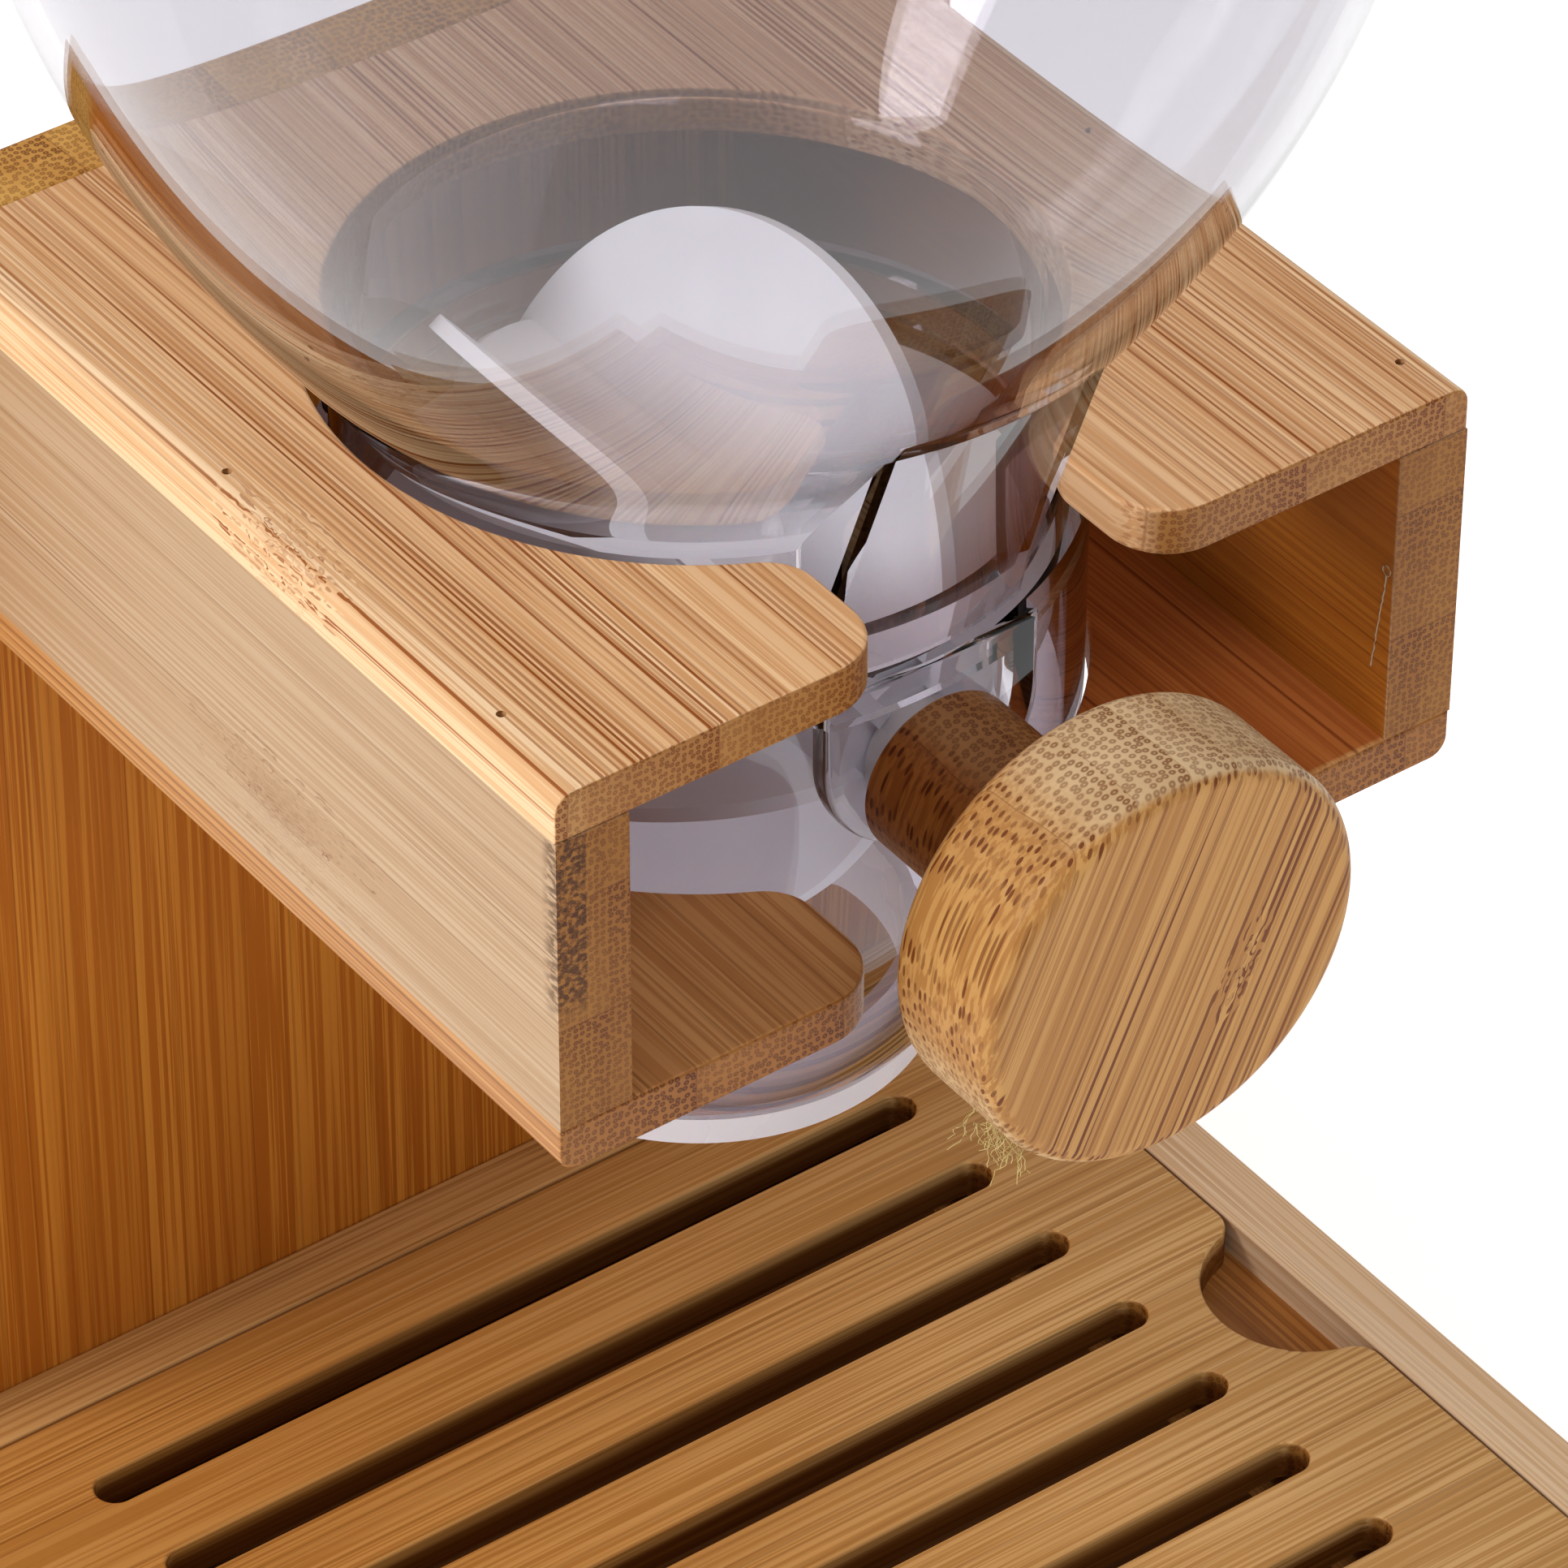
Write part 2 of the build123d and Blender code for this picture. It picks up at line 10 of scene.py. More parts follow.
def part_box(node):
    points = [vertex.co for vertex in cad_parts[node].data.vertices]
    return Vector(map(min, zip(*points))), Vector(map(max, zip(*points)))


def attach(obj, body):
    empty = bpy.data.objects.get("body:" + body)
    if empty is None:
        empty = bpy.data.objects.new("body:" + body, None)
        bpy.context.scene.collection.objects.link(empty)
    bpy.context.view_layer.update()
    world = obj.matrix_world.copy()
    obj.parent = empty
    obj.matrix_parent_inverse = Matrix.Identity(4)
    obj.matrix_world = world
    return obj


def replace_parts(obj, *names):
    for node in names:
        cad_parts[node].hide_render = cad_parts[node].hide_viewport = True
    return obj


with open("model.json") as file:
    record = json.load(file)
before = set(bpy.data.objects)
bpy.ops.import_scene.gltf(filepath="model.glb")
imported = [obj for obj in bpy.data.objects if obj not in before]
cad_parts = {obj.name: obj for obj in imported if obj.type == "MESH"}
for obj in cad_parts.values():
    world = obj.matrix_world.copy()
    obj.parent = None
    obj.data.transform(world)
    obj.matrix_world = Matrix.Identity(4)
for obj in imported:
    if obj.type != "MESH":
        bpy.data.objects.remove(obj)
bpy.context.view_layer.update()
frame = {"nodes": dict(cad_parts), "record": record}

MM = 0.001
X, Y, Z = (1, 0, 0), (0, 1, 0), (0, 0, 1)


def in_mm(box):
    """A box's lowest and highest corners in millimetres."""
    return [tuple(value / MM for value in corner) for corner in box]


# Colours

def srgb(red, green, blue):
    """Linear colour from 0 to 255 display values."""
    def linear(value):
        value /= 255
        return value / 12.92 if value <= 0.04045 else ((value + 0.055) / 1.055) ** 2.4
    return (linear(red), linear(green), linear(blue), 1.0)


class Graph:
    """A material's nodes, added by calls that each return the new node's output."""

    def __init__(self, name):
        self.material = bpy.data.materials.new(name)
        self.material.use_nodes = True
        self.nodes = self.material.node_tree.nodes
        self.links = self.material.node_tree.links
        self.nodes.clear()

    def add(self, kind, inputs, output=0, **settings):
        node = self.nodes.new("ShaderNode" + kind)
        for key, value in settings.items():
            setattr(node, key, value)
        for key, value in inputs.items():
            if isinstance(value, bpy.types.NodeSocket):
                self.links.new(value, node.inputs[key])
            else:
                node.inputs[key].default_value = value
        return node.outputs[output]

    def math(self, operation, *values):
        return self.add("Math", dict(enumerate(values)), operation=operation)

    def dot(self, vector, direction):
        return self.add("VectorMath", {0: vector, 1: direction}, "Value", operation="DOT_PRODUCT")

    def vector(self, x, y, z):
        return self.add("CombineXYZ", {0: x, 1: y, 2: z})

    def noise(self, vector, scale, detail=2.0):
        return self.add("TexNoise", {"Vector": vector, "Scale": scale, "Detail": detail})

    def step(self, value, low, high, out_low=0.0, out_high=1.0):
        """Smooth step from out_low at low to out_high at high."""
        inputs = {0: value, 1: low, 2: high, 3: out_low, 4: out_high}
        return self.add("MapRange", inputs, interpolation_type="SMOOTHSTEP")

    def mix(self, factor, first, second, blend="MIX"):
        return self.add("Mix", {0: factor, 6: first, 7: second}, 2, data_type="RGBA", blend_type=blend)

    def tint(self, colour, factor, tint):
        """Colour times tint where factor is 1, and unchanged where it is 0."""
        return self.mix(1.0, colour, self.mix(factor, (1.0, 1.0, 1.0, 1.0), (*tint, 1.0)), "MULTIPLY")

    def finish(self, colour, **sockets):
        shader = self.nodes.new("ShaderNodeBsdfPrincipled")
        values = {name.replace("_", " ").title(): value for name, value in sockets.items()}
        values["Base Color"] = colour
        for key, value in values.items():
            key = key.replace("Ior", "IOR")
            if isinstance(value, bpy.types.NodeSocket):
                self.links.new(value, shader.inputs[key])
            else:
                shader.inputs[key].default_value = value
        output = self.nodes.new("ShaderNodeOutputMaterial")
        self.links.new(shader.outputs[0], output.inputs[0])
        return self.material


# Bamboo

KNOT_STRETCH = (1.0, 0.6, 0.4)
KNOT_HEART = 0.45
KNOT_RIPPLE = 0.55
KNOT_PUSH = 11.0
PALE_END = (0.5, 0.36, 0.2)
DEEP_END = (0.45, 0.31, 0.16)


def knot_fields(graph, axes, places, knots):
    """How near each point is to a knot, and how far its fibres are pushed aside there."""
    nearness, push = 0.0, 0.0
    for centre, radius in knots:
        steps = []
        for place, axis, stretch in zip(places, axes, KNOT_STRETCH):
            offset = graph.math("SUBTRACT", place, Vector(centre).dot(axis) / MM)
            steps.append(graph.math("MULTIPLY", offset, stretch))
        away = graph.add("VectorMath", {0: graph.vector(*steps)}, "Value", operation="LENGTH")
        mask = graph.step(away, radius, 0.0)
        spread = [graph.math("MULTIPLY", step, KNOT_RIPPLE) for step in steps]
        ripple = graph.noise(graph.vector(*spread), 1.0)
        shove = graph.math("MULTIPLY", mask, graph.math("SUBTRACT", ripple, 0.5))
        nearness = graph.math("ADD", nearness, graph.step(away, KNOT_HEART * radius, 0.0))
        push = graph.math("MULTIPLY_ADD", shove, KNOT_PUSH, push)
    return nearness, push


def strip_fields(graph, fibre_u, v, strip, seed):
    """How dense the fibres are at each place in its glued strip, and where the seams run."""
    width, thickness = strip
    place_u = graph.math("DIVIDE", graph.math("ADD", fibre_u, seed), width)
    place_v = graph.math("DIVIDE", graph.math("ADD", v, seed), thickness)
    cell = graph.vector(graph.math("FLOOR", place_u), graph.math("FLOOR", place_v), seed)
    lot = graph.add("TexWhiteNoise", {"Vector": cell}, "Value")
    towards_bark = graph.math("POWER", graph.math("FRACT", place_u), 2.0)
    density = graph.math("MULTIPLY_ADD", towards_bark, 0.6, graph.math("MULTIPLY", lot, 0.4))
    seam = graph.step(graph.math("PINGPONG", place_u, 0.5), 0.012, 0.0)
    return density, seam


def fibre_marks(graph, fibre_place, pitch, line, density, groups, end, side):
    """Fibre bundles: a dark ring round a pale core on end faces, and broken lines on long faces."""
    bundles = {"Vector": fibre_place, "Scale": 1 / pitch, "Randomness": 0.55}
    distance = graph.add("TexVoronoi", bundles, "Distance", voronoi_dimensions="2D")
    chance = graph.add("TexVoronoi", bundles, "Color", voronoi_dimensions="2D")
    chance = graph.add("SeparateColor", {0: chance})
    core = graph.step(distance, 0.16, 0.08, 0.0, 0.7)
    dots = graph.math("MULTIPLY", graph.step(distance, 0.46, 0.3), graph.math("SUBTRACT", 1.0, core))
    dots = graph.math("MULTIPLY", dots, graph.math("MULTIPLY_ADD", density, 0.6, 0.4))
    lines = graph.math("MULTIPLY", graph.math("MULTIPLY", graph.step(distance, 0.3, 0.2), groups), line)
    lines = graph.math("MULTIPLY", lines, graph.math("MULTIPLY_ADD", chance, 0.6, 0.4))
    return graph.math("ADD", graph.math("MULTIPLY", dots, end), graph.math("MULTIPLY", lines, side))


def bamboo(name, grain, across, light, mid, dark, strip, seed, pitch, line, end_tint=DEEP_END, knots=(),
           tone=None):
    """Glued bamboo as a solid texture. Fibre bundles pitch apart run along grain, so they show as lines
    on long faces and as dots on end faces, which end_tint colours. across is the strips' width
    direction, and strip is their width and thickness in millimetres. tone(graph, colour, x, y, z) may
    tint the colour at each place, in millimetres."""
    graph = Graph(name)
    grain = Vector(grain).normalized()
    across = Vector(across).normalized()
    axes = (across, grain.cross(across), grain)
    place = graph.add("TexCoord", {}, "Object")
    facing = graph.add("TexCoord", {}, "Normal")

    def along(axis):
        return graph.math("MULTIPLY", graph.dot(place, axis), 1 / MM)

    u, v, w = (along(axis) for axis in axes)

    def stretched(across_scale, along_scale, offset=0.0):
        return graph.vector(graph.math("MULTIPLY", u, across_scale), graph.math("MULTIPLY", v, across_scale),
                            graph.math("MULTIPLY_ADD", w, along_scale, seed + offset))

    wander = graph.math("MULTIPLY_ADD", graph.noise(stretched(0.03, 0.006), 1.0), 3.0, -1.5)
    knot_mask, push = knot_fields(graph, axes, (u, v, w), knots)
    bend = graph.math("ADD", wander, push)
    fibre_u = graph.math("ADD", u, bend)
    fibre_v = graph.math("MULTIPLY_ADD", bend, 0.6, v)
    density, seam = strip_fields(graph, fibre_u, v, strip, seed)

    end = graph.step(graph.math("ABSOLUTE", graph.dot(facing, grain)), 0.45, 0.8)
    side = graph.math("SUBTRACT", 1.0, end)
    groups = graph.step(graph.noise(stretched(0.3, 0.004, 5.0), 1.0, 2.0), 0.38, 0.62, 0.35, 1.0)
    fibre_place = graph.vector(fibre_u, graph.math("ADD", fibre_v, seed), 0.0)
    marks = fibre_marks(graph, fibre_place, pitch, line, density, groups, end, side)

    fine = graph.noise(stretched(1.6, 0.012), 1.0, 4.0)
    broad = graph.noise(stretched(0.1, 0.004, 3.0), 1.0, 2.0)
    fleck = graph.noise(stretched(4.0, 0.5), 1.0, 2.0)
    body = graph.mix(graph.math("MULTIPLY", graph.step(fine, 0.44, 0.56), side), light, mid)
    body = graph.mix(graph.math("MULTIPLY", density, 0.6), body, mid)
    body = graph.mix(graph.step(broad, 0.4, 0.7, 0.0, 0.4), body, mid)
    body = graph.mix(graph.step(fleck, 0.6, 0.8, 0.0, 0.25), body, mid)
    knot_marks = graph.math("MULTIPLY", knot_mask, graph.step(fleck, 0.42, 0.6, 0.05, 0.5))
    seam_marks = graph.math("MULTIPLY", seam, 0.5)
    marks = graph.math("MAXIMUM", marks, graph.math("MAXIMUM", knot_marks, seam_marks))
    colour = graph.tint(graph.mix(marks, body, dark), end, end_tint)
    if tone:
        colour = tone(graph, colour, *[along(axis) for axis in (X, Y, Z)])

    height = graph.math("MULTIPLY_ADD", marks, -0.7, graph.math("MULTIPLY", fine, 0.3))
    bump = graph.add("Bump", {"Strength": 0.22, "Distance": 0.0002, "Height": height})
    rough = graph.step(fleck, 0.3, 0.8, 0.4, 0.55)
    return graph.finish(colour, roughness=rough, normal=bump, specular_ior_level=0.2)


# Tints by place, several of them painted shade and light; a fade goes from its first place to its second, in
# millimetres

WALL_LOW, WALL_HIGH = in_mm(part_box("bracket_wall_right"))
BRACKET_SIDE, BRACKET_FRONT = WALL_HIGH[0], WALL_LOW[1]
KNOB_THICKNESS = 21.6


def wall_tone_and_shade(graph, colour, x, y, z):
    """Painted shade darkens and reddens the walls' inner faces behind the front end, and the inner layer is a
    little darker; the outer layer has a coarse dark patch at the upper front.
    """
    inner = graph.step(graph.math("ABSOLUTE", x), BRACKET_SIDE - 5.6, BRACKET_SIDE - 6.1)
    behind_end = graph.step(y, BRACKET_FRONT + 0.1, BRACKET_FRONT + 0.5)
    # painted shade: darker, redder inner faces behind the front end, as in the shade inside the bracket
    colour = graph.tint(colour, graph.math("MULTIPLY", inner, behind_end), (0.78, 0.39, 0.07))
    colour = graph.tint(colour, inner, (0.92, 0.88, 0.82))
    left = graph.step(x, 5.0 - BRACKET_SIDE, 4.4 - BRACKET_SIDE)
    patch = graph.math("MULTIPLY", left, graph.step(y, BRACKET_FRONT + 3.8, BRACKET_FRONT + 0.8))
    patch = graph.math("MULTIPLY", patch, graph.step(z, WALL_HIGH[2] - 31.5, WALL_HIGH[2] - 25.5))
    stretched = graph.vector(x, graph.math("MULTIPLY", y, 0.4), graph.math("MULTIPLY", z, 1.3))
    grit = graph.step(graph.noise(stretched, 1.0, 3.0), 0.42, 0.56)
    return graph.tint(colour, graph.math("MULTIPLY", patch, grit), (0.36, 0.3, 0.22))


def top_tone(graph, colour, x, y, z):
    """The top plate's outer strip on the left is paler."""
    return graph.tint(colour, graph.step(x, 5.2 - BRACKET_SIDE, 4.2 - BRACKET_SIDE), (1.12, 1.22, 1.36))


def under_painted_shade(graph, colour, x, y, z):
    """Painted shade: the lower plate is darker and redder on its right half inside the bracket, apart from
    its front end.
    """
    behind_end = graph.step(y, BRACKET_FRONT + 0.6, BRACKET_FRONT + 1.2)
    # painted shade: darker, redder right half of the floor inside the bracket
    shaded_inside = graph.math("MULTIPLY", graph.step(x, 0.0, 28.0), behind_end)
    return graph.tint(colour, shaded_inside, (0.78, 0.5, 0.33))


def tray_painted_light_and_shade(graph, colour, x, y, z):
    """Painted light and shade: the tray turns paler to the right, away from the bracket's shade, and painted
    shade darkens its slots.
    """
    top = in_mm(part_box("slotted_tray"))[1][2]
    # painted light and shade: paler to the right, darker to the left in the bracket's shade
    colour = graph.tint(colour, graph.step(x, -60.0, 90.0), (1.2, 1.5, 2.3))
    # painted shade in the slots below the tray's top
    return graph.tint(colour, graph.step(z, top - 0.7, top - 3.5), (0.3, 0.19, 0.1))


def stem_painted_shade(graph, colour, x, y, z):
    """Painted shade: the stem, shaded by the knob and bracket, is darker than the knob."""
    back_of_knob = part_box("turning_knob")[0][1] / MM + KNOB_THICKNESS
    # painted shade on the stem behind the knob
    return graph.tint(colour, graph.step(y, back_of_knob - 0.4, back_of_knob), (0.46, 0.3, 0.18))


# Plastics and metal

FOOT_FADE = 0.012


def clear_plastic(name, colour, foot_colour=None, foot_z=0.0):
    """Clear moulding that lets lamps and bounced light through, in foot_colour below foot_z if given."""
    graph = Graph(name)
    place = graph.add("TexCoord", {}, "Object")
    haze = graph.noise(place, 60.0, 3.0)
    tint = (*colour, 1.0)
    if foot_colour:
        low = graph.step(graph.dot(place, Z), foot_z + FOOT_FADE, foot_z - FOOT_FADE)
        tint = graph.mix(low, tint, (*foot_colour, 1.0))
    graph.finish(tint, roughness=graph.step(haze, 0.35, 0.75, 0.0, 0.02),
                 transmission_weight=1.0, ior=1.49)
    shader = graph.nodes["Principled BSDF"]
    through = graph.add("BsdfTransparent", {"Color": (0.95, 0.95, 0.97, 1.0)})
    rays = graph.nodes.new("ShaderNodeLightPath")
    lamp_or_bounce = graph.math("MAXIMUM", rays.outputs["Is Shadow Ray"], rays.outputs["Is Diffuse Ray"])
    both = graph.add("MixShader", {0: lamp_or_bounce, 1: shader.outputs[0], 2: through})
    graph.links.new(both, graph.nodes["Material Output"].inputs[0])
    return graph.material


def moulded(name, colour, roughness, **sockets):
    """Moulded plastic or rubber with a faint uneven sheen."""
    graph = Graph(name)
    place = graph.add("TexCoord", {}, "Object")
    cloud = graph.noise(place, 40.0, 3.0)
    tone = graph.step(cloud, 0.3, 0.7, 0.94, 1.0)
    shaded = graph.mix(1.0, colour, graph.vector(tone, tone, tone), "MULTIPLY")
    rough = graph.step(cloud, 0.3, 0.7, roughness * 0.85, roughness * 1.15)
    bump = graph.add("Bump", {"Strength": 0.1, "Distance": 0.0001, "Height": graph.noise(place, 900.0)})
    return graph.finish(shaded, roughness=rough, normal=bump, **sockets)


def steel():
    graph = Graph("steel")
    place = graph.add("TexCoord", {}, "Object")
    scratch = graph.noise(graph.add("Mapping", {0: place, 3: (3000, 3000, 200)}), 1.0, 3.0)
    rough = graph.step(scratch, 0.3, 0.7, 0.22, 0.4)
    tone = graph.mix(graph.step(scratch, 0.3, 0.7), srgb(170, 170, 172), srgb(200, 200, 203))
    return graph.finish(tone, roughness=rough, metallic=1.0)


KNOB_TILT = math.radians(24)
KNOB_GRAIN = (math.sin(KNOB_TILT), 0, math.cos(KNOB_TILT))
KNOB_ACROSS = (math.cos(KNOB_TILT), 0, -math.sin(KNOB_TILT))
TOP_KNOT = ((-0.0732, -0.0016, 0.245), 8.0)
WALL_KNOT = ((-0.075, -0.0006, 0.1999), 14.0)
KNOB_KNOT = ((0.0114, -0.099, 0.1971), 4.5)
MATERIALS = {
    "bracket_top_plate": bamboo(
        "bamboo_top", Y, X, srgb(246, 206, 158), srgb(214, 160, 108), srgb(150, 80, 30),
        strip=(24.0, 7.5), seed=1.3, pitch=1.0, line=1.15, knots=[TOP_KNOT], tone=top_tone),
    "bracket_bottom_plate": bamboo(
        "bamboo_under", Y, X, srgb(206, 152, 94), srgb(180, 122, 68), srgb(112, 58, 20),
        strip=(24.0, 7.5), seed=5.1, pitch=1.1, line=0.9, end_tint=(0.58, 0.46, 0.3), tone=under_painted_shade),
    "bracket_wall": bamboo(
        "bamboo_wall", Y, Z, srgb(196, 166, 133), srgb(178, 142, 105), srgb(128, 84, 46),
        strip=(21.0, 5.75), seed=3.7, pitch=1.0, line=0.7, end_tint=(0.6, 0.36, 0.1), knots=[WALL_KNOT],
        tone=wall_tone_and_shade),
    "back_panel": bamboo(
        "bamboo_panel", Z, X, srgb(212, 138, 50), srgb(176, 98, 24), srgb(116, 52, 5),
        strip=(20.0, 6.2), seed=8.2, pitch=1.1, line=0.35, end_tint=(1.08, 1.5, 2.8)),
    "slotted_tray": bamboo(
        "bamboo_tray", X, Y, srgb(208, 150, 80), srgb(178, 118, 52), srgb(122, 66, 16),
        strip=(19.8, 7.2), seed=2.6, pitch=1.3, line=0.5, end_tint=PALE_END, tone=tray_painted_light_and_shade),
    "rail_x": bamboo(
        "bamboo_rail_x", X, Z, srgb(214, 164, 102), srgb(186, 132, 72), srgb(130, 74, 26),
        strip=(15.0, 5.1), seed=4.4, pitch=1.2, line=0.5, end_tint=PALE_END),
    "rail_y": bamboo(
        "bamboo_rail_y", Y, Z, srgb(244, 214, 176), srgb(222, 182, 138), srgb(158, 104, 58),
        strip=(15.0, 5.1), seed=6.9, pitch=1.2, line=0.5, end_tint=PALE_END),
    # painted shade: the floor board under the tray is dark, standing in for the shade seen through the slots
    "hidden_board_painted_shade": bamboo(
        "bamboo_hidden_painted_shade", X, Y, srgb(120, 72, 34), srgb(96, 54, 22), srgb(62, 30, 10),
        strip=(20.0, 6.0), seed=12.5, pitch=1.2, line=0.3),
    "cleat": bamboo(
        "bamboo_cleat", Y, X, srgb(178, 120, 60), srgb(148, 92, 42), srgb(104, 56, 18),
        strip=(20.0, 6.0), seed=7.7, pitch=1.2, line=0.5, end_tint=PALE_END),
    "knob": bamboo(
        "bamboo_knob", KNOB_GRAIN, KNOB_ACROSS, srgb(202, 152, 88), srgb(172, 118, 60), srgb(112, 56, 14),
        strip=(7.6, 21.0), seed=9.4, pitch=1.2, line=1.5, end_tint=(1.2, 1.62, 3.0), knots=[KNOB_KNOT],
        tone=stem_painted_shade),
    "lid": bamboo(
        "bamboo_lid", X, Y, srgb(214, 168, 116), srgb(188, 138, 86), srgb(128, 70, 24),
        strip=(20.0, 6.0), seed=11.0, pitch=1.2, line=0.6, end_tint=(0.7, 0.6, 0.45)),
    "clear": clear_plastic("clear_bowl_plastic", (0.73, 0.715, 0.75), (0.5, 0.435, 0.465), 0.24),
    "clear_chute": clear_plastic("clear_chute_plastic", (0.58, 0.555, 0.61)),
    "milky": moulded("milky_plastic", srgb(224, 220, 226), 0.25, subsurface_weight=0.3,
                     subsurface_scale=0.002),
    "white": moulded("white_soft", srgb(246, 246, 250), 0.45, subsurface_weight=0.2, subsurface_scale=0.002),
    "bush": moulded("bush_plastic", srgb(225, 225, 222), 0.4),
    "core": moulded("core_plastic", srgb(190, 194, 198), 0.4),
    "foot": moulded("foot_rubber", srgb(45, 45, 46), 0.7),
    "seal": moulded("seal_rubber", srgb(225, 222, 216), 0.5),
    "fluff": moulded("fluff_fibre", srgb(206, 184, 118), 0.8),
    "glue": moulded("glue_bead", srgb(222, 190, 142), 0.2, transmission_weight=0.6),
    "steel": steel(),
}
WEARS = {
    "base_rail_front": "rail_x", "base_rail_rear": "rail_x", "base_rail_left": "rail_y",
    "base_rail_right": "rail_y", "base_floor": "hidden_board_painted_shade", "tray_cleat_left": "cleat",
    "tray_cleat_right": "cleat", "rubber_feet": "foot", "base_screws": "steel",
    "bracket_wall_left": "bracket_wall", "bracket_wall_right": "bracket_wall",
    "bracket_screws": "steel", "brad_nails": "steel", "hopper_bowl": "clear",
    "wheel_housing": "clear_chute", "outlet_ring": "milky", "front_bush": "bush", "rear_bush": "bush",
    "turning_knob": "knob", "drive_spindle": "steel", "wheel_core": "core", "hub_pin": "steel",
    "paddle_wheel": "white", "lid_board": "lid", "lid_plug": "lid", "lid_seal": "seal",
    "lid_screws": "steel",
}
for node, obj in frame["nodes"].items():
    obj.data.materials.clear()
    obj.data.materials.append(MATERIALS[WEARS.get(node, node)])


# Mesh tools; shapes are in millimetres until they are made

SHARP_ANGLE = math.radians(28)


def make_piece(name, bm, material, body):
    """Object from a millimetre bmesh, smooth apart from its sharp edges."""
    bmesh.ops.remove_doubles(bm, verts=bm.verts, dist=0.0005)
    bmesh.ops.recalc_face_normals(bm, faces=bm.faces)
    bmesh.ops.scale(bm, vec=(MM, MM, MM), verts=bm.verts)
    for face in bm.faces:
        face.smooth = True
    for edge in bm.edges:
        edge.smooth = len(edge.link_faces) != 2 or edge.calc_face_angle(0.0) < SHARP_ANGLE
    mesh = bpy.data.meshes.new(name)
    bm.to_mesh(mesh)
    bm.free()
    mesh.materials.append(MATERIALS[material])
    obj = bpy.data.objects.new(name, mesh)
    bpy.context.scene.collection.objects.link(obj)
    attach(obj, body)
    return obj


def lathe(profile, segments=240):
    """Closed form turned about the bowl's axis, from (radius, height) points that start and end on it."""
    bm = bmesh.new()
    rings = []
    for radius, z in profile:
        turns = [2 * math.pi * k / segments for k in range(segments)] if radius else [0.0]
        rings.append([bm.verts.new((radius * math.cos(a), BOWL_Y + radius * math.sin(a), z)) for a in turns])
    for low, high in zip(rings, rings[1:]):
        for k in range(segments):
            following = k + 1
            corners = (low[k % len(low)], low[following % len(low)],
                       high[following % len(high)], high[k % len(high)])
            bm.faces.new(list(dict.fromkeys(corners)))
    bmesh.ops.recalc_face_normals(bm, faces=bm.faces)
    return bm


def grid_block(columns, rows, front, back):
    """Closed block between two faces that give y from x and z."""
    bm = bmesh.new()
    faces = [[[bm.verts.new((x, face(x, z), z)) for x in columns] for z in rows] for face in (front, back)]
    near, far = faces
    for sheet in (near, far):
        for lower, upper in zip(sheet, sheet[1:]):
            for k in range(len(columns) - 1):
                bm.faces.new((lower[k], lower[k + 1], upper[k + 1], upper[k]))
    edges = [(near[0], far[0]), (near[-1], far[-1])]
    edges += [([row[k] for row in near], [row[k] for row in far]) for k in (0, -1)]
    for first, second in edges:
        for k in range(len(first) - 1):
            bm.faces.new((first[k], first[k + 1], second[k + 1], second[k]))
    bmesh.ops.recalc_face_normals(bm, faces=bm.faces)
    return bm


def prism(outline, y_front, y_back, edge_round=0.0):
    """Closed prism along Y from an (x, z) outline centred on x = 0, its front edge rounded."""
    bm = bmesh.new()
    steps = 4 if edge_round else 0
    middle = Vector((0.0, sum(z for _, z in outline) / len(outline)))
    levels = [(1.0, y_back)]
    reach = max(abs(x) for x, _ in outline)
    for step in range(steps + 1):
        turn = math.pi / 2 * step / steps if steps else 0.0
        scale = 1 - edge_round * (1 - math.cos(turn)) / reach
        levels.append((scale, y_front + edge_round * (1 - math.sin(turn))))
    loops = []
    for scale, y in levels:
        points = [middle + (Vector(point) - middle) * scale for point in outline]
        loops.append([bm.verts.new((point.x, y, point.y)) for point in points])
    for first, second in zip(loops, loops[1:]):
        for k in range(len(outline)):
            following = (k + 1) % len(outline)
            bm.faces.new((first[k], first[following], second[following], second[k]))
    bm.faces.new(loops[0])
    bm.faces.new(loops[-1])
    bmesh.ops.recalc_face_normals(bm, faces=bm.faces)
    return bm


def combine(first, others, operation):
    """First bmesh joined with or cut by the others."""
    def as_object(bm):
        mesh = bpy.data.meshes.new("form")
        bm.to_mesh(mesh)
        bm.free()
        obj = bpy.data.objects.new("form", mesh)
        bpy.context.scene.collection.objects.link(obj)
        return obj
    target = as_object(first)
    tools = [as_object(bm) for bm in others]
    for tool in tools:
        modifier = target.modifiers.new("combine", "BOOLEAN")
        modifier.solver = "MANIFOLD"
        modifier.operation = operation
        modifier.object = tool
    evaluated = target.evaluated_get(bpy.context.evaluated_depsgraph_get())
    result = bmesh.new()
    result.from_mesh(evaluated.to_mesh())
    evaluated.to_mesh_clear()
    for obj in [target] + tools:
        mesh = obj.data
        bpy.data.objects.remove(obj)
        bpy.data.meshes.remove(mesh)
    return result


def spaced(low, high, count):
    return [low + (high - low) * k / (count - 1) for k in range(count)]


# Bowl and chute, in clear plastic

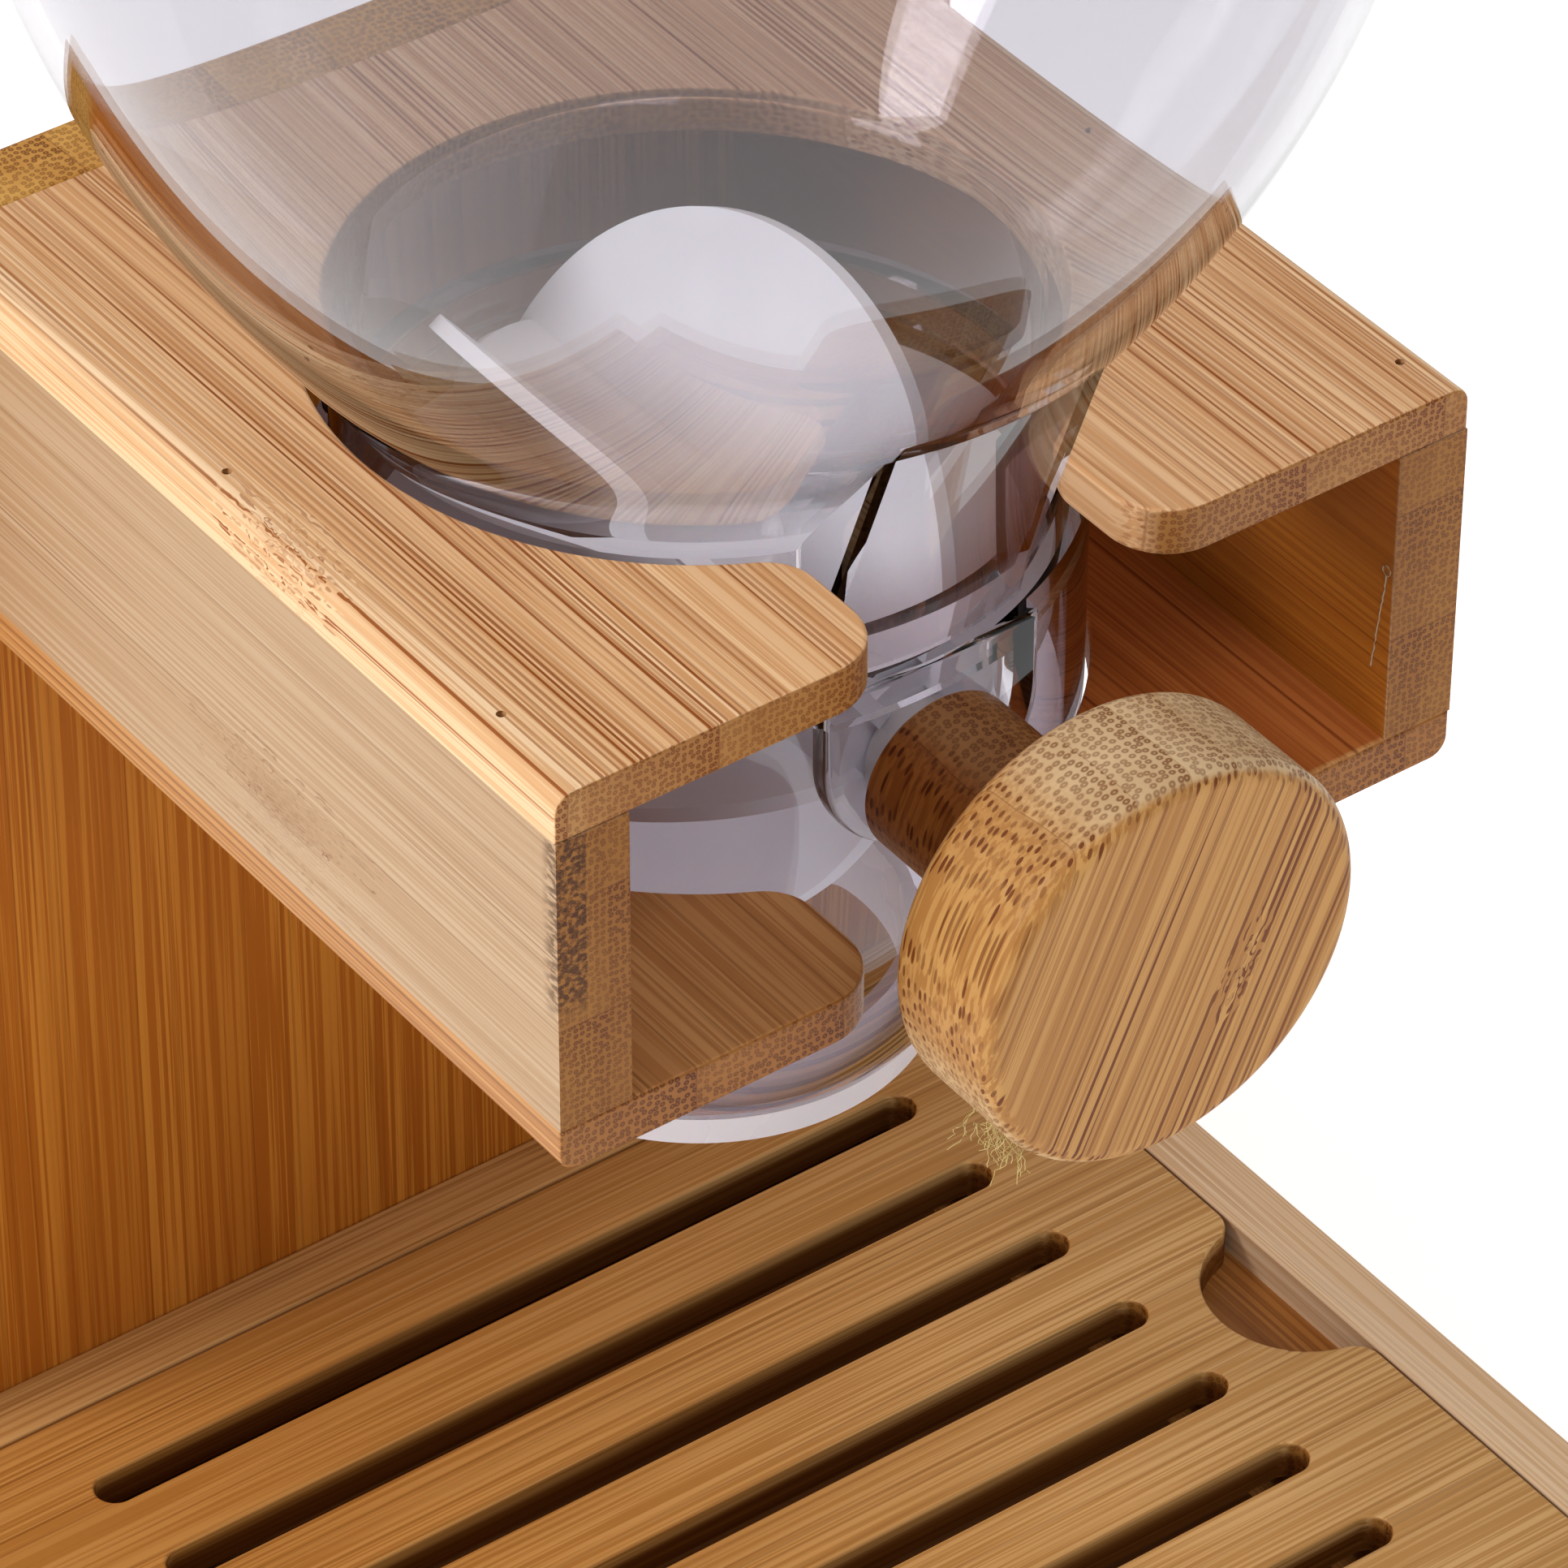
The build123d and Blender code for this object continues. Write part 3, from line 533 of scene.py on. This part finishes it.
WHEEL_JOINT = next(joint for joint in frame["record"]["behaviour"]["joints"] if joint["name"] == "wheel_turn")
BOWL_Y = WHEEL_JOINT["pos_m"][1] / MM
WHEEL_Z = WHEEL_JOINT["pos_m"][2] / MM
bowl_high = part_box("hopper_bowl")[1]
chute_low, chute_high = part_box("wheel_housing")
BOWL_RADIUS = bowl_high[0] / MM
BOWL_TOP_Z = bowl_high[2] / MM
BOWL_WALL = 3.2
BOWL_EQUATOR_Z = 395.0
BOWL_BELLY_Z = 295.2
BOWL_FLARE_RADIUS = 64.1
BOWL_FLARE_Z = 266.4
BOWL_FOOT_Z = 242.4
BOWL_SHOULDER = 48.0
BOWL_RIM = 80.0
NECK_RADIUS = 50.3
NECK_BORE = 48.9

# How far the bowl curve's control points move for each millimetre of wall
BELLY_RISE = 0.5
FLARE_RISE = 0.68
FLARE_SHRINK = 0.76
FOOT_RISE = 1.52

CHUTE_BOTTOM_Z = chute_low[2] / MM
CHUTE_TOP_Z = chute_high[2] / MM
CHUTE_RADIUS = chute_high[0] / MM
CHUTE_WALL = 2.7
CHUTE_STRAIGHT_Z = 187.0
CHUTE_ARC = 93.0
NECK_SEAT_Z = 213.3
JOINT_GAP = 0.08

# The chin's front is given by (radius, height) at its knee and top
CHIN_GAP = 0.45
CHIN_HALF = 17.8
CHIN_WALL = 3.0
CHIN_KNEE = (54.4, 228.3)
CHIN_TOP = (70.8, 275.0)
CHIN_FOOT = 52.5

BOSS_CENTRE_Z = 208.5
BOSS_FACE = 54.2
BOSS_EDGE_ROUND = 1.0
BUSH_RADIUS = 6.0
OVERRUN = 1.0


def bezier(points, count):
    """Points along a cubic curve."""
    curve = []
    for t in spaced(0.0, 1.0, count):
        weights = ((1 - t)**3, 3 * t * (1 - t)**2, 3 * t**2 * (1 - t), t**3)
        curve.append(tuple(sum(weight * point[axis] for weight, point in zip(weights, points))
                           for axis in (0, 1)))
    return curve


def bowl_profile(inset, foot, low, top):
    """Half outline of the bowl, shrunk by inset: neck, belly curve and round shoulder."""
    radius = BOWL_RADIUS - inset
    flare = (BOWL_FLARE_RADIUS - FLARE_SHRINK * inset, BOWL_FLARE_Z + FLARE_RISE * inset)
    curve = bezier(((foot, BOWL_FOOT_Z + FOOT_RISE * inset), flare,
                    (radius, BOWL_BELLY_Z + BELLY_RISE * inset), (radius, BOWL_EQUATOR_Z)), 110)
    shoulder = BOWL_SHOULDER - inset
    middle = BOWL_RADIUS - BOWL_SHOULDER
    last = math.acos((BOWL_RIM - inset - middle) / shoulder)
    for turn in spaced(0.0, last, 30)[1:]:
        curve.append((middle + shoulder * math.cos(turn), BOWL_EQUATOR_Z + shoulder * math.sin(turn)))
    return [(0.0, low), (foot, low)] + curve + [(BOWL_RIM - inset, top), (0.0, top)]


def chute_profile(inset, low, high):
    """Half outline of the chute, shrunk by inset: an arc that runs into a straight wall."""
    middle = CHUTE_RADIUS - CHUTE_ARC
    arc = CHUTE_ARC - inset
    first = math.asin((CHUTE_STRAIGHT_Z - low) / arc)
    curve = [(middle + arc * math.cos(turn), CHUTE_STRAIGHT_Z - arc * math.sin(turn))
             for turn in spaced(first, 0.0, 60)]
    return [(0.0, low)] + curve + [(CHUTE_RADIUS - inset, high), (0.0, high)]


def chin_block(inset, low, high):
    """The chin's block, shrunk by inset, with a bent conical front."""
    def radius(z):
        (knee, knee_z), (top, top_z) = CHIN_KNEE, CHIN_TOP
        if z > knee_z:
            return knee + (top - knee) * (z - knee_z) / (top_z - knee_z) - inset
        return CHIN_FOOT + (knee - CHIN_FOOT) * (z - CHUTE_TOP_Z) / (knee_z - CHUTE_TOP_Z) - inset
    half = CHIN_HALF - inset
    rows = {low, high, *spaced(low, high, 24)}
    if low < CHIN_KNEE[1]:
        rows.add(CHIN_KNEE[1])
    return grid_block(spaced(-half, half, 41), sorted(rows),
                      lambda x, z: BOWL_Y - math.sqrt(radius(z)**2 - x**2), lambda x, z: BOWL_Y)


def arch_outline():
    """Upright arch with a round lower end, as high as the chute."""
    turns = spaced(math.pi, 2 * math.pi, 41)
    arch = [(CHIN_HALF * math.cos(turn), BOSS_CENTRE_Z + CHIN_HALF * math.sin(turn))
            for turn in turns]
    return arch + [(CHIN_HALF, CHUTE_TOP_Z), (-CHIN_HALF, CHUTE_TOP_Z)]


def cross_bore(radius):
    """Space of the bushes' bore, right through the chute."""
    turns = [2 * math.pi * k / 64 for k in range(64)]
    circle = [(radius * math.cos(turn), WHEEL_Z + radius * math.sin(turn)) for turn in turns]
    return prism(circle, BOWL_Y - BOSS_FACE - OVERRUN, BOWL_Y + CHUTE_RADIUS + OVERRUN)


def clear_bowl():
    form = combine(lathe(bowl_profile(0.0, NECK_RADIUS, CHUTE_TOP_Z + JOINT_GAP, BOWL_TOP_Z)),
                   [chin_block(0.0, CHUTE_TOP_Z + CHIN_GAP, CHIN_TOP[1])], "UNION")
    shaded_inside = [lathe(bowl_profile(BOWL_WALL, NECK_BORE, CHUTE_TOP_Z - OVERRUN, BOWL_TOP_Z + OVERRUN)),
              chin_block(CHIN_WALL, CHIN_KNEE[1], CHIN_TOP[1])]
    form = combine(form, shaded_inside, "DIFFERENCE")
    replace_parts(make_piece("clear_bowl", form, "clear", "hopper"), "hopper_bowl")


def clear_chute():
    boss = prism(arch_outline(), BOWL_Y - BOSS_FACE, BOWL_Y, BOSS_EDGE_ROUND)
    form = combine(lathe(chute_profile(0.0, CHUTE_BOTTOM_Z, CHUTE_TOP_Z)), [boss], "UNION")
    bore = lathe([(0.0, NECK_SEAT_Z - OVERRUN), (NECK_BORE, NECK_SEAT_Z - OVERRUN),
                  (NECK_BORE, CHUTE_TOP_Z + OVERRUN), (0.0, CHUTE_TOP_Z + OVERRUN)])
    shaded_inside = lathe(chute_profile(CHUTE_WALL, CHUTE_BOTTOM_Z - OVERRUN, NECK_SEAT_Z))
    form = combine(form, [shaded_inside, bore, cross_bore(BUSH_RADIUS)], "DIFFERENCE")
    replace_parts(make_piece("clear_chute", form, "clear_chute", "hopper"), "wheel_housing")


# Fluff under the knob and dried glue in the bracket

def tube(bm, points, radii, sides=5):
    """Thin closed tube through the points."""
    rings = []
    for k, point in enumerate(points):
        along = (points[min(k + 1, len(points) - 1)] - points[max(k - 1, 0)]).normalized()
        first = along.orthogonal().normalized()
        second = along.cross(first)
        turns = [2 * math.pi * side / sides for side in range(sides)]
        rings.append([bm.verts.new(point + radii[k] * (math.cos(a) * first + math.sin(a) * second))
                      for a in turns])
    for low, high in zip(rings, rings[1:]):
        for side in range(sides):
            following = (side + 1) % sides
            bm.faces.new((low[side], low[following], high[following], high[side]))
    bm.faces.new(rings[0])
    bm.faces.new(rings[-1])


FLUFF_STRANDS = 34
FLUFF_STEPS = 14
FLUFF_RADIUS = 0.05
FLUFF_ARC = (212, 226)
FLUFF_DEPTH = 0.985
GLUE_RADIUS = 0.13


def fluff():
    """Loose fibres caught on the knob's lower left edge."""
    rng = random.Random(7)
    knob_low, knob_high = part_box("turning_knob")
    radius = (knob_high[0] - knob_low[0]) / 2 / MM * FLUFF_DEPTH
    bm = bmesh.new()
    for _ in range(FLUFF_STRANDS):
        turn = math.radians(rng.uniform(*FLUFF_ARC))
        start = Vector((radius * math.cos(turn), knob_low[1] / MM + rng.uniform(3.0, 10.0),
                        WHEEL_Z + radius * math.sin(turn)))
        heading = Vector((rng.uniform(-0.2, 0.5), rng.uniform(-0.5, 0.3), -1.0)).normalized()
        points = [start]
        for _ in range(FLUFF_STEPS):
            swerve = Vector([rng.gauss(0.0, 0.5) for _ in range(3)])
            heading = (heading + swerve + Vector((0.0, 0.0, -0.3))).normalized()
            points.append(points[-1] + heading * rng.uniform(0.4, 0.8))
        tube(bm, points, [FLUFF_RADIUS] * len(points), 4)
    make_piece("knob_fluff", bm, "fluff", "rotor")


def glue_bead():
    """Thread of dried glue on the right wall's inner face, slanting to the front, curled at its top."""
    rng = random.Random(3)
    wall_low, wall_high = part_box("bracket_wall_right")
    x, front = wall_low[0] / MM - 0.08, wall_low[1] / MM
    middle = (wall_low[2] + wall_high[2]) / 2 / MM
    points = [Vector((x, front + 3.8 - 2.3 * t + rng.uniform(-0.12, 0.12), middle - 13.4 + 16.9 * t))
              for t in spaced(0.0, 1.0, 30)]
    curl = 0.8
    centre = points[-1] + Vector((0.0, 0.0, curl))
    points += [centre + curl * Vector((0.0, math.sin(turn), -math.cos(turn)))
               for turn in spaced(0.5, 6.0, 14)]
    bm = bmesh.new()
    tube(bm, points, [GLUE_RADIUS * rng.uniform(0.6, 1.3) for _ in points], 7)
    make_piece("glue_bead", bm, "glue", "stand")


clear_bowl()
clear_chute()
fluff()
glue_bead()


# Floor, light and camera

LAMP_AIM = Vector((0, 0, 0.2))
VIEW_AZIMUTH, VIEW_ELEVATION, VIEW_ROLL = -36.38, 39.12, 0.21
CAMERA_PLACE = Vector((-0.5578, -0.7699, 0.9417))


def floor():
    size = 6.0
    mesh = bpy.data.meshes.new("floor")
    corners = [(-size, -size, 0), (size, -size, 0), (size, size, 0), (-size, size, 0)]
    mesh.from_pydata(corners, [], [(0, 1, 2, 3)])
    obj = bpy.data.objects.new("floor", mesh)
    bpy.context.scene.collection.objects.link(obj)
    graph = Graph("floor_paint")
    cloud = graph.noise(graph.add("TexCoord", {}, "Object"), 8.0)
    tone = graph.mix(graph.step(cloud, 0.3, 0.7), srgb(252, 252, 253), srgb(255, 255, 255))
    mesh.materials.append(graph.finish(tone, roughness=0.8, specular_ior_level=0.1,
                                       emission_color=(1.0, 1.0, 1.0, 1.0), emission_strength=0.5))


def direction(azimuth, elevation):
    """Unit vector from the object towards that azimuth and elevation; azimuth 0 is the front."""
    a, e = math.radians(azimuth), math.radians(elevation)
    return Vector((math.sin(a) * math.cos(e), -math.cos(a) * math.cos(e), math.sin(e)))


def soft_box(name, azimuth, elevation, distance, size, power):
    """Rectangular lamp aimed at the object's middle."""
    light = bpy.data.lights.new(name, "AREA")
    light.shape = "RECTANGLE"
    light.size, light.size_y = size
    light.energy = power
    lamp = bpy.data.objects.new(name, light)
    back = direction(azimuth, elevation)
    lamp.location = LAMP_AIM + back * distance
    lamp.rotation_mode = "QUATERNION"
    lamp.rotation_quaternion = back.to_track_quat("Z", "Y")
    bpy.context.scene.collection.objects.link(lamp)


def studio():
    world = bpy.data.worlds.new("studio")
    world.use_nodes = True
    background = world.node_tree.nodes["Background"]
    background.inputs[0].default_value = (1.0, 1.0, 1.0, 1.0)
    background.inputs[1].default_value = 0.5
    bpy.context.scene.world = world
    soft_box("key", -104, 36, 1.6, (0.5, 0.65), 13)
    soft_box("front", -15, 55, 1.8, (0.6, 0.4), 5)
    bpy.context.scene.view_settings.view_transform = "Standard"


def camera():
    back = direction(VIEW_AZIMUTH, VIEW_ELEVATION)
    azimuth, roll = math.radians(VIEW_AZIMUTH), math.radians(VIEW_ROLL)
    right = Vector((math.cos(azimuth), math.sin(azimuth), 0))
    up = back.cross(right)
    turned_right = math.cos(roll) * right + math.sin(roll) * up
    turned_up = -math.sin(roll) * right + math.cos(roll) * up
    data = bpy.data.cameras.new("camera")
    data.sensor_width = 36.0
    data.lens = 200.5
    data.clip_start, data.clip_end = 0.05, 30.0
    obj = bpy.data.objects.new("camera", data)
    place = Matrix((turned_right, turned_up, back)).transposed().to_4x4()
    place.translation = CAMERA_PLACE
    obj.matrix_world = place
    bpy.context.scene.collection.objects.link(obj)
    bpy.context.scene.camera = obj


floor()
studio()
camera()
